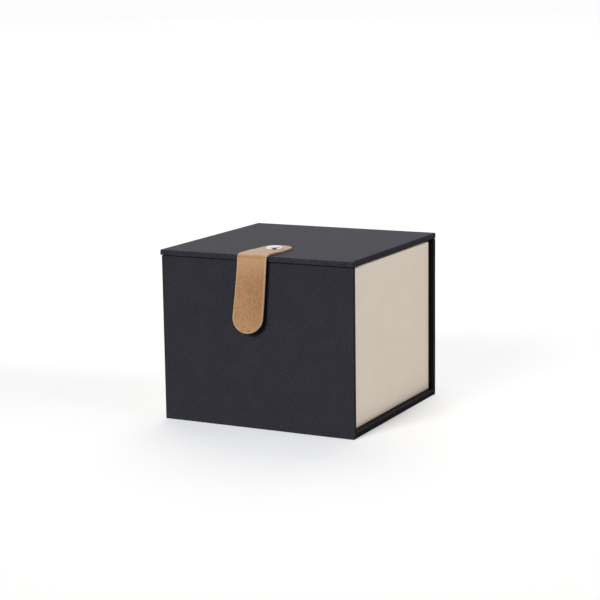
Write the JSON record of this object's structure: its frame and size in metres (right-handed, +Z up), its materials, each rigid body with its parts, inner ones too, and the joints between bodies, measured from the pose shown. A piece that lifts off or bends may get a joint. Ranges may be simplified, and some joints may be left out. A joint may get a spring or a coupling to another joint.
{
  "type": "gift box",
  "caption": "Small rigid gift box of dark linen-wrapped board with a cream tray, a rear-hinged lid and a tan leather pull strap riveted to the lid and hanging over the front.",
  "frame": {"origin": "centre of the flat underside that the box stands on", "axes": "+X to the right, +Y from the front panel to the back, +Z up through the lid"},
  "size_m": [0.12, 0.123, 0.1014],
  "materials": {
    "dark_linen_paper": "matt linen-embossed cover paper, charcoal black",
    "greyboard": "raw grey board, hidden inside the panels and walls",
    "cream_paper": "matt uncoated cream paper with a fine fibre texture",
    "kraft_tape": "brown gummed paper tape, hidden",
    "plated_steel": "bright nickel-plated steel",
    "magnet_nickel": "nickel-plated magnet, hidden in the lid",
    "tan_leather": "pebbled tan leather with paler cut edges"
  },
  "bodies": {
    "box": {"base_board": "greyboard", "front_board": "greyboard", "back_board": "greyboard", "base_wrap": "dark_linen_paper", "front_wrap": "dark_linen_paper", "back_wrap": "dark_linen_paper", "hinge_strip": "dark_linen_paper", "tray_floor": "greyboard", "tray_left_wall": "greyboard", "tray_right_wall": "greyboard", "tray_front_wall": "greyboard", "tray_back_wall": "greyboard", "tray_corner_tapes": "kraft_tape", "tray_wrap": "cream_paper", "tray_lining": "cream_paper", "floor_sheet": "cream_paper", "keeper_bars": "plated_steel"},
    "lid": {"lid_board": "greyboard", "lid_wrap": "dark_linen_paper", "lid_lining": "dark_linen_paper", "lid_magnets": "magnet_nickel", "rivet_cap": "plated_steel", "rivet_post": "plated_steel"},
    "strap": {"strap_top": "tan_leather", "strap_fold": "tan_leather"},
    "tail": {"strap_tail": "tan_leather"}
  },
  "joints": [
    {"name": "lid_hinge", "type": "hinge", "parent": "box", "child": "lid", "pos_m": [0, 0.05865, 0.09565], "axis": [-1, 0, 0], "range_deg": [0, 180], "deforming": ["hinge_strip"]},
    {"name": "strap_swivel", "type": "hinge", "parent": "lid", "child": "strap", "pos_m": [0.0014, -0.0372, 0.099], "axis": [0, 0, 1], "range_deg": [-3.5, 3.5]},
    {"name": "tail_fold", "type": "hinge", "parent": "strap", "child": "tail", "pos_m": [0, -0.06082, 0.09928], "axis": [-1, 0, 0], "range_deg": [-4, 120], "stiffness_Nm_per_rad": 0.004, "deforming": ["strap_fold"]}
  ]
}
